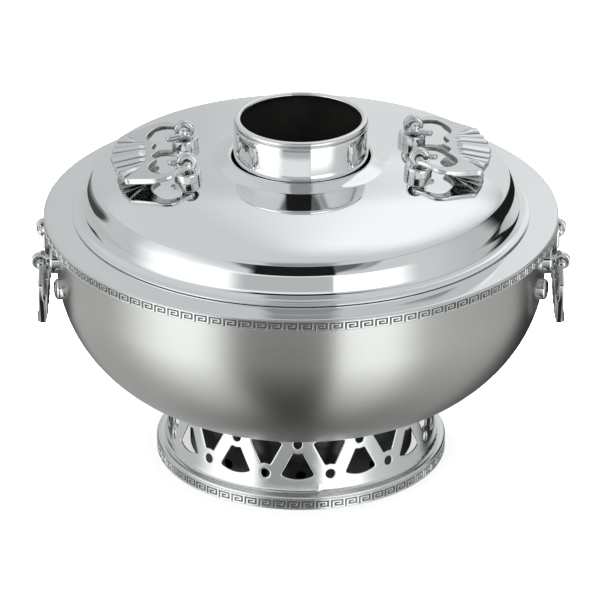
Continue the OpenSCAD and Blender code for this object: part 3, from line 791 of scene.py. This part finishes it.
        # drop triangles outside the wall or in a hole
        tri = np.array([list(t_) for t_ in ff if len(t_) == 3])
        cen = vv[tri].mean(1)
        keep = (cen[:, 0] > np.interp(cen[:, 1], seam[:, 1], seam[:, 0])) & (cen[:, 0] < np.interp(cen[:, 1], right[:, 1], right[:, 0]))
        for h in holes:
            near = np.nonzero(keep & (np.abs(cen[:, 0] - h[:, 0].mean()) < 12.5))[0]
            pq = cen[near]
            a, b = h, np.roll(h, -1, 0)
            cross = np.zeros(len(near), bool)
            for (x1, y1), (x2, y2) in zip(a, b):
                c1 = (y1 > pq[:, 1]) != (y2 > pq[:, 1])
                with np.errstate(divide="ignore", invalid="ignore"):
                    xi = (x2 - x1) * (pq[:, 1] - y1) / (y2 - y1) + x1
                cross ^= c1 & (pq[:, 0] < xi)
            keep[near[cross]] = False
        tri = tri[keep]
        v2 = vv[tri]
        area = (v2[:, 1, 0] - v2[:, 0, 0]) * (v2[:, 2, 1] - v2[:, 0, 1]) - (v2[:, 2, 0] - v2[:, 0, 0]) * (v2[:, 1, 1] - v2[:, 0, 1])
        tri[area < 0] = tri[area < 0][:, ::-1]
        border_idx = [back[i] for i in range(len(border))]
        return vv, tri, [[back[i] for i in l] for l in idx], border_idx, nx

    def place(p2, depth):
        p2 = np.asarray(p2, float)
        depth = np.broadcast_to(depth, len(p2))
        ph = p2[:, 0] / R0
        slope = math.atan2(3.5, 34)
        r = rad(p2[:, 1]) - depth * math.cos(slope)
        z = p2[:, 1] - depth * math.sin(slope)
        # 0 turn is the front, -Y
        return np.stack([r * np.sin(ph), -r * np.cos(ph), z], 1)

    ro, dp = 0.75, 0.42            # rolled edge of the punched holes: width and depth
    V, F, nrm = [], [], []
    count = 0

    def push(p):
        nonlocal count
        V.append(p)
        count += len(p)
        return count - len(p)

    fv, ft, fl, fb, nx = face(ro)
    b0 = push(place(fv, 0.0))
    F += (ft + b0).tolist()
    bv, bt, bl, bb, _ = face(0.25)
    b1 = push(place(bv, t))
    F += (bt[:, ::-1] + b1).tolist()
    for li, (shape, c) in enumerate(loops):
        n = len(shape)
        nn = outward(shape)
        rings = [[b0 + i for i in fl[li]]]
        for w in (15, 30, 45, 60, 75, 90):
            a = math.radians(w)
            b = push(place(shape + nn * ro * (1 - math.sin(a)) + c, dp * (1 - math.cos(a))))
            rings.append(list(range(b, b + n)))
        b = push(place(shape + c, t - 0.22))
        rings.append(list(range(b, b + n)))
        b = push(place(shape + nn * 0.08 + c, t - 0.07))
        rings.append(list(range(b, b + n)))
        rings.append([b1 + i for i in bl[li]])
        area = (shape[:, 0] * np.roll(shape[:, 1], -1) - np.roll(shape[:, 0], -1) * shape[:, 1]).sum()
        for ra, rb in zip(rings, rings[1:]):
            for i in range(n):
                j = (i + 1) % n
                q = [ra[i], rb[i], rb[j], ra[j]]
                F.append(q if area < 0 else q[::-1])
    # bottom and top edges
    m = nx + 1
    F += [[b0 + fb[i + 1], b0 + fb[i], b1 + bb[i], b1 + bb[i + 1]] for i in range(m - 1)]
    k = m + len(seam) - 2
    # the wall's top turns in to the flange under the bowl
    ring = []
    for (rr, zz) in ((76.2, 42.0), (72.9, 42.0), (72.6, 41.7), (72.6, 41.1), (72.9, 40.8), (75.0, 40.8)):
        pts2 = np.array([tuple(fv[fb[k + i]]) for i in range(m)])
        ph = pts2[:, 0] / R0
        ring.append(push(np.stack([rr * np.sin(ph), -rr * np.cos(ph), np.full(m, zz)], 1)))
    chain = [[b0 + fb[k + i] for i in range(m)]] + [[r + i for i in range(m)] for r in ring] + [[b1 + bb[k + i] for i in range(m)]]
    for ra, rb in zip(chain, chain[1:]):
        F += [[ra[i + 1], ra[i], rb[i], rb[i + 1]] for i in range(m - 1)]
    return np.vstack(V), F


v, f = stand()
make("stand_wall", v, f, M_STAND, "pot", ["stand_drum"], 50, recalc=True)

# ---------------------------------------------------------------- chimney
FT = 211.0
sl = [(37.95, 150.3), (38.2, 150), (38.7, 150)] + arc(38.6, 150.5, 0.5, -60, 0, 3) + \
    [(39.1, z) for z in (152, 160, 170, 180, 190, 200, 205, 207.3)] + arc(38.7, 207.35, 0.4, 0, 90, 4)[1:] + [(38.2, 207.75), (37.95, 207.6)]
v, f = lathe(sl, 256)
make("chimney_outer_sleeve", v, f, M_SLEEVE, "pot", ["chimney_sleeve"], 40)
lip = arc(37.2, 209.52, 1.45, -67, 90, 14) + [(36.7, 210.98)] + arc(36.25, 209.52, 1.45, 90, 270, 16) + \
    [(36.75, 208.05), (36.8, 207.4), (37.7, 207.4), (37.75, 208.1)]
v, f = lathe(lip, 256)
make("chimney_rolled_lip", v, f, M_SLEEVE, "pot", ["chimney_lip_ring"], 40)

# ---------------------------------------------------------------- lid
Z0 = RIM_Z + 0.1
lid_curve = arc(132.75, Z0 + 0.72, 0.66, -70, 88, 10) + \
    bz((131, 154.78), (127.6, 154.95), (125.9, 157.6), (125.3, 161.4), 30)[0:] + \
    bz((125.3, 161.4), (125.05, 163.4), (124.6, 165.9), (124.35, 167.2), 20)[1:] + \
    bz((124.35, 167.2), (124.26, 167.6), (124.16, 167.85), (124.02, 168.15), 8)[1:] + \
    bz((124.02, 168.15), (123.3, 169.7), (122.5, 171.15), (121.5, 172.85), 24)[1:] + \
    bz((121.5, 172.85), (121.0, 173.65), (120.4, 174.2), (119.5, 174.6), 14)[1:] + \
    bz((119.5, 174.6), (105.5, 181.0), (78, 184.2), (51.4, 185.2), 70)[1:] + \
    bz((51.4, 185.2), (49.4, 185.3), (46, 186.9), (42.2, 187.8), 20)[1:] + \
    arc(41.6, 186.5, 1.3, 62, 180, 10)[1:] + [(40.3, 185.5), (40.3, 184.4)]
v, f = lathe(sheet(lid_curve, 1.0, 0.2), 512)
make("lid_dome", v, f, M_LID, "lid", ["lid_shell"], 45)


# ---------------------------------------------------------------- castings from distance fields
def net(field, lo, hi, step):
    """a smooth quad mesh of field = 0 (surface nets), then each point is pulled onto the surface"""
    ax = [np.arange(l, h + step, step) for l, h in zip(lo, hi)]
    G = np.stack(np.meshgrid(*ax, indexing="ij"), -1)
    sh = G.shape[:3]
    D = field(G.reshape(-1, 3)).reshape(sh)
    inside = D < 0
    cube = [(i, j, k) for i in (0, 1) for j in (0, 1) for k in (0, 1)]

    def part(M, c): return M[c[0]:sh[0] - 1 + c[0], c[1]:sh[1] - 1 + c[1], c[2]:sh[2] - 1 + c[2]]
    tot = sum(part(inside, c).astype(int) for c in cube)
    cells = (tot > 0) & (tot < 8)
    idx = -np.ones(cells.shape, int)
    idx[cells] = np.arange(cells.sum())
    acc = np.zeros(cells.shape + (3,))
    cnt = np.zeros(cells.shape)
    for a in cube:
        for d in range(3):
            if a[d] == 0:
                b = list(a)
                b[d] = 1
                da, db = part(D, a), part(D, tuple(b))
                cr = (da < 0) != (db < 0)
                with np.errstate(divide="ignore", invalid="ignore"):
                    t = np.where(cr, da / (da - db), 0.0)
                p = np.zeros(cells.shape + (3,))
                for q in range(3):
                    p[..., q] = a[q]
                p[..., d] += t
                acc += np.where(cr[..., None], p, 0)
                cnt += cr
    ii = np.argwhere(cells)
    P = (ii + acc[cells] / cnt[cells][:, None]) * step + np.array(lo)
    F = []
    for d in range(3):
        e1, e2 = [q for q in range(3) if q != d]
        s0 = [slice(None)] * 3
        s1 = [slice(None)] * 3
        s0[d], s1[d] = slice(0, -1), slice(1, None)
        cr = inside[tuple(s0)] != inside[tuple(s1)]
        pos = np.argwhere(cr)
        pos = pos[(pos[:, e1] > 0) & (pos[:, e2] > 0) & (pos[:, e1] < sh[e1] - 1) & (pos[:, e2] < sh[e2] - 1)]
        flip = inside[tuple(pos.T)]

        def at(o1, o2):
            q = pos.copy()
            q[:, e1] -= o1
            q[:, e2] -= o2
            return idx[tuple(q.T)]
        quad = np.stack([at(1, 1), at(0, 1), at(0, 0), at(1, 0)], 1)
        if d == 1:
            quad = quad[:, ::-1]
        quad[~flip] = quad[~flip][:, ::-1]
        F.append(quad)
    F = np.vstack(F)
    h = 0.02

    def grad(P):
        g = np.empty_like(P)
        for q in range(3):
            o = np.zeros(3)
            o[q] = h
            g[:, q] = (field(P + o) - field(P - o)) / (2 * h)
        return g
    for _ in range(4):
        g = grad(P)
        l = np.maximum((g * g).sum(1), 1e-4)
        P = P - np.clip(field(P) / l, -step / 2, step / 2)[:, None] * g
    g = grad(P)
    N = g / np.maximum(np.linalg.norm(g, axis=1), 1e-9)[:, None]
    return P, F, N


def smax(a, b, k):
    h = np.maximum(k - np.abs(a - b), 0) / k
    return np.maximum(a, b) + h * h * k * 0.25


def smin(a, b, k):
    return -smax(-a, -b, k)


def poly_dist(p, poly):
    """signed distance to a closed polygon, inside negative"""
    d = np.full(len(p), 1e9)
    inside = np.zeros(len(p), bool)
    Q = np.asarray(poly, float)
    for (a, b) in zip(Q, np.roll(Q, -1, 0)):
        ab = b - a
        t = np.clip(((p - a) @ ab) / (ab @ ab), 0, 1)
        w = p - a - t[:, None] * ab
        d = np.minimum(d, (w * w).sum(1))
        c = (a[1] > p[:, 1]) != (b[1] > p[:, 1])
        if a[1] != b[1]:
            inside ^= c & (p[:, 0] < (b[0] - a[0]) * (p[:, 1] - a[1]) / (b[1] - a[1]) + a[0])
    d = np.sqrt(d)
    return np.where(inside, -d, d)


def crom(p, n):
    p = np.asarray(p, float)
    out = [p[0]]
    for i in range(len(p) - 1):
        a, b, c, d = p[max(i - 1, 0)], p[i], p[i + 1], p[min(i + 2, len(p) - 1)]
        for j in range(1, n + 1):
            t = j / n
            out.append(0.5 * (2 * b + (c - a) * t + (2 * a - 5 * b + 4 * c - d) * t * t + (3 * b - a - 3 * c + d) * t ** 3))
    return np.array(out)


RIM_PTS = [(43.9, 0), (43.4, 7.3), (42, 15), (40.5, 21.4), (37.4, 28.4), (36.4, 31.2), (33.6, 32.4),
           (30, 34), (26, 35.8), (22, 37.4), (18, 38.8), (14.5, 39.4), (11, 39.1), (8, 37.6), (5.4, 34.6), (2.6, 32), (-0.6, 29.8)]
HOLE_PTS = [(2.2, 26.4), (3.4, 28.4), (5.2, 30), (7.8, 31.7), (11.6, 33.3), (15.6, 33), (18.9, 30), (21.3, 26),
            (22.3, 21.8), (21.6, 18), (19.7, 14.6), (17.2, 11.6)]
KNOB_PTS = [(17.2, 11.6), (18.4, 9.2), (19.5, 6.8), (19.4, 4.5), (17.6, 2.2), (15.3, 0)]
half = np.vstack([crom(RIM_PTS, 4), [(-2.2, 27.8), (-2.2, 26.4)], crom(HOLE_PTS, 4), crom(KNOB_PTS, 4)[1:]])
PULL_OUTLINE = np.vstack([half, half[half[:, 1] > 0.01][::-1] * np.array([1, -1])])
# lines between the ribs of one half, from beside the knob to the rim
RIB_IN = np.array([(22.8, 5.5), (22.6, 12), (23.8, 15), (25.2, 17.4)])
RIB_OUT = np.array([(43.2, 7.3), (41.8, 15), (40.2, 21.3), (36.8, 30.0)])


def rib_place(uv):
    """where a point of the ribbed face lies: -1 to 1 across its rib, 0 to 1 along it, and whether it is on the ribs at all"""
    u, v = uv[:, 0], np.abs(uv[:, 1])
    line = [a[1] + (b[1] - a[1]) * (u - a[0]) / (b[0] - a[0]) for a, b in zip(RIB_IN, RIB_OUT)]
    start = np.interp(v, [0, 5.5, 12, 15, 17.4, 24], [22.9, 22.8, 22.6, 23.8, 25.2, 29.5])
    lo = np.where(v < line[0], -line[0], np.where(v < line[1], line[0], np.where(v < line[2], line[1], line[2])))
    hi = np.where(v < line[0], line[0], np.where(v < line[1], line[1], np.where(v < line[2], line[2], line[3])))
    wide = np.maximum(hi - lo, 0.3)
    ph = np.clip((v - (lo + hi) / 2) / (wide / 2), -1, 1)
    along = np.clip((u - start) / 5.0, 0, 1)
    on = np.clip((line[3] - v) / 0.5 + 0.5, 0, 1) * (u > start - 0.2)
    return ph, along, on, wide, line[3] - v


def pull_field(p):
    uv = p[:, :2]
    w = p[:, 2]
    d2 = poly_dist(uv, PULL_OUTLINE)
    ph, along, on, wide, _ = rib_place(uv)
    round_ = np.sqrt(np.clip(1 - 0.97 * ph * ph, 0, 1))
    grow = along * along * (3 - 2 * along)
    crest = np.clip(wide / 8.5, 0.55, 1.0)
    # flat ribbed face, ribs that swell towards the rim with sharp valleys between them
    top = 0.75 + on * grow * (1.95 * crest * round_ - 0.45)
    thick = np.clip((uv[:, 0] - 17.5) / 2.5, 0, 1)
    low = 2.3 + 0.9 * thick * thick * (3 - 2 * thick) - on * grow * crest * 1.0 * round_
    edge = np.clip((uv[:, 0] - 33) / 5.0, 0, 1)
    d2s = d2 + on * edge * 1.15 * (1 - round_)
    body = smax(smax(d2s, w - top, 1.0), -w - low, 1.1)
    v = np.abs(p[:, 1])
    q = np.stack([p[:, 0], v, w], 1)
    # peg through the eye, its ball end, and the stop rod beside it
    peg = np.maximum(np.hypot(q[:, 0], q[:, 2]) - 2.2, np.maximum(18 - v, v - 29.5))
    ball = np.linalg.norm(q - np.array([0.6, 18.0, 0.9]), axis=1) - 2.9
    rod = np.linalg.norm(q - np.stack([np.clip(q[:, 0], -1.5, 9.3), np.full(len(q), 16.9), np.full(len(q), -1.0)], 1), axis=1) - 2.0
    inner = smin(ball, rod, 0.5)
    d = smin(body, peg, 0.8)
    return smin(d, inner, 0.4)


def post_field(axis, h, boss_r, boss_h, ring_r, foot, dome):
    """round the eye's middle, the hinge along Y; the boss stands along axis, h below the eye"""
    a = np.asarray(axis, float)

    def fld(p):
        t = p @ a + h
        r = np.linalg.norm(p - (p @ a)[:, None] * a, axis=1)
        cap = boss_h - dome * np.clip(r / boss_r, 0, 1) ** 2
        boss = np.maximum(smax(r - boss_r, t - cap, 1.5), foot - t)
        e = np.hypot(p[:, 0], p[:, 2])
        ring = smax(e - ring_r, np.abs(p[:, 1]) - 2.25, 1.3)
        d = smin(boss, ring, 1.1)
        return smax(d, 2.6 - e, 0.35)
    return fld


STEP = 0.34
PULL_V, PULL_F, PULL_N = net(pull_field, (-4.4, -40.2, -4.0), (45.2, 40.2, 4.6), STEP)
ph, along, on, wide, beyond = rib_place(PULL_V[:, :2])
# PULL_CAV is painted shade: in the valleys between the ribs and on what faces down
PULL_CAV = np.clip((np.abs(ph) - 0.74) / 0.26, 0, 1) * (beyond > -0.5) * np.clip(along * 3, 0.0, 1) * (PULL_N[:, 2] > -0.6)
PULL_CAV = np.maximum(PULL_CAV, 0.45 * np.clip((-PULL_N[:, 2] - 0.5) / 0.4, 0, 1))
mirror = PULL_V[:, :2] * np.where(PULL_V[:, 1:2] < 0, [[1, -1]], [[1, 1]])


def near_line(q, pts):
    d = np.full(len(q), 1e9)
    for a, b in zip(pts, pts[1:]):
        ab = b - a
        t = np.clip(((q - a) @ ab) / (ab @ ab), 0, 1)
        d = np.minimum(d, np.linalg.norm(q - a - t[:, None] * ab, axis=1))
    return d


# painted shade on the walls of the opening
hole_side = near_line(mirror, crom(HOLE_PTS + KNOB_PTS[1:], 3)) < 0.9
wall = np.clip((0.75 - np.abs(PULL_N[:, 2])) / 0.35, 0, 1)
PULL_CAV = np.maximum(PULL_CAV, 0.85 * wall * hole_side * (PULL_V[:, 0] > 2.5))
# painted shade on the undersides of the peg, ball and rod
rods = (np.abs(PULL_V[:, 1]) < 21) & (PULL_V[:, 0] < 12)
PULL_CAV = np.maximum(PULL_CAV, np.where(rods, 0.55 * np.clip(-PULL_N[:, 2], 0, 1), 0))


def place(V, N, M):
    R = np.array(M.to_3x3())
    t = np.array(M.translation)
    return V @ R.T + t, N @ R.T


def casting(name, V, F, N, M, body, nodes, cavity=None, mat=None):
    P, Q = place(V, N, M)
    ob = make(name, P, F, mat or M_CAST, body, nodes, 0, cavity=cavity)
    ob.data.normals_split_custom_set_from_vertices([tuple(n) for n in Q])
    return ob


def rot(axis, deg): return Matrix.Rotation(math.radians(deg), 4, axis)


TURN, HX, HZ, SX, SZ, EY = 3.1, 66.8, 194.4, 151.3, 130.7, 23.5
for side, turn, droop in (("right", 0, 9.6), ("left", 180, 10.9)):
    M = rot("Z", turn + TURN) @ Matrix.Translation((HX, 0, HZ)) @ rot("Y", droop)
    casting(f"lid_pull_cast_{side}", PULL_V, PULL_F, PULL_N, M, f"lid_pull_{side}", [f"lid_pull_{side}"], PULL_CAV)
    M = rot("Z", turn) @ Matrix.Translation((SX, 0, SZ)) @ rot("Y", 90)
    casting(f"side_pull_cast_{side}", PULL_V, PULL_F, PULL_N, M, f"side_pull_{side}", [f"side_pull_{side}"], PULL_CAV)

# posts
dome = np.array(bz((117.6, 175.4), (104, 181.4), (78, 184.2), (51.4, 185.2), 60))[::-1]


def lid_top(r): return float(np.interp(r, dome[:, 0], dome[:, 1]))


def hollows(V, up, bore):
    """painted shade on what faces down, and in the eye's bore (the eye's axis is local Y)"""
    r = np.hypot(V[:, 0], V[:, 2])
    return np.clip(np.maximum(np.clip(-up, 0, 1) * 0.85, np.clip((bore + 0.9 - r) / 0.7, 0, 1) * 0.9), 0, 1)


er = math.hypot(HX, EY)
slope = math.atan((lid_top(er - 2.1) - lid_top(er + 0.9)) / 3)
eye_h = (HZ - lid_top(er)) * math.cos(slope)
fine = 0.3
SPV, SPF, SPN = net(post_field((1, 0, 0), 10.8, 7.6, 6.3, 5.07, -1.4, 1.7), (-12.6, -8.1, -8.1), (5.6, 8.1, 8.1), fine)
for side, s in (("right", 1), ("left", -1)):
    for end, y in (("front", -EY), ("rear", EY)):
        az = math.atan2(y, s * HX)
        ax = (math.sin(slope) * math.cos(az), math.sin(slope) * math.sin(az), math.cos(slope))
        V, F, N = net(post_field(ax, eye_h, 8.1, 5.8, 5.9, -0.1, 0.25), (-9.4, -9.4, -11.8), (9.4, 9.4, 6.5), fine)
        M = rot("Z", TURN) @ Matrix.Translation((s * HX, y, HZ))
        casting(f"lid_post_cast_{side}_{end}", V, F, N, M, "lid", [f"lid_post_{side}_{end}"], hollows(V, N @ np.array(ax), 2.6))
        M = Matrix.Translation((s * SX, y, SZ)) @ rot("Z", 0 if s > 0 else 180)
        casting(f"side_post_cast_{side}_{end}", SPV, SPF, SPN, M, "pot", [f"side_post_{side}_{end}"], hollows(SPV, SPN[:, 2], 2.6))

# stop studs: domed heads with a small turned centre
prof = [(0, 147.1)] + [(0.9, 147.1), (1.3, 146.95), (1.6, 146.95)] + bz((2.0, 147.05), (3.8, 147.0), (5.4, 146.5), (5.95, 145.6), 8) + \
    bz((5.95, 145.6), (6.2, 145.1), (6.2, 144.6), (6.2, 144.0), 4)[1:] + [(6.2, 141.6)]
for k, a in enumerate((-13.8, 13.8, 166.2, 193.8)):
    P = np.array(prof)
    seg = 64
    t = np.arange(seg) * 2 * math.pi / seg
    V = [(P[0, 1], 0, 0)]
    for r, x in P[1:]:
        V += [(x, r * math.cos(w), r * math.sin(w)) for w in t]
    F = [[0, 1 + i, 1 + (i + 1) % seg] for i in range(seg)]
    for j in range(len(P) - 2):
        F += [[1 + j * seg + i, 1 + (j + 1) * seg + i, 1 + (j + 1) * seg + (i + 1) % seg, 1 + j * seg + (i + 1) % seg] for i in range(seg)]
    b = 1 + (len(P) - 2) * seg
    F.append([b + i for i in range(seg)][::-1])
    V = np.array(V)
    V[b:, 0] = np.sqrt(141.5 ** 2 - V[b:, 1] ** 2)        # the foot follows the bowl
    c, s_ = math.cos(math.radians(a)), math.sin(math.radians(a))
    V = np.stack([V[:, 0] * c - V[:, 1] * s_, V[:, 0] * s_ + V[:, 1] * c, V[:, 2] + 117.4], 1)
    make(f"stop_stud_{k}", V, F, M_CAST, "pot", ["side_stop_studs"] if k == 0 else (), 50, cavity=np.zeros(len(V)), recalc=True)

# ---------------------------------------------------------------- carried-over CAD nodes
KEPT = {"fire_cone": M_FLUE, "flue_tube": M_FLUE, "fire_drum": M_FIRE, "fire_bed": M_FIRE, "drum_floor": M_FIRE, "fire_grate": M_IRON,
        "side_post_washers": M_STAND, "side_post_nuts": M_STAND, "lid_locating_ring": M_STAND, "lid_post_washers": M_STAND, "lid_post_nuts": M_STAND}
for name, mat in KEPT.items():
    if name in NODES:
        NODES[name].data.materials.clear()
        NODES[name].data.materials.append(mat)
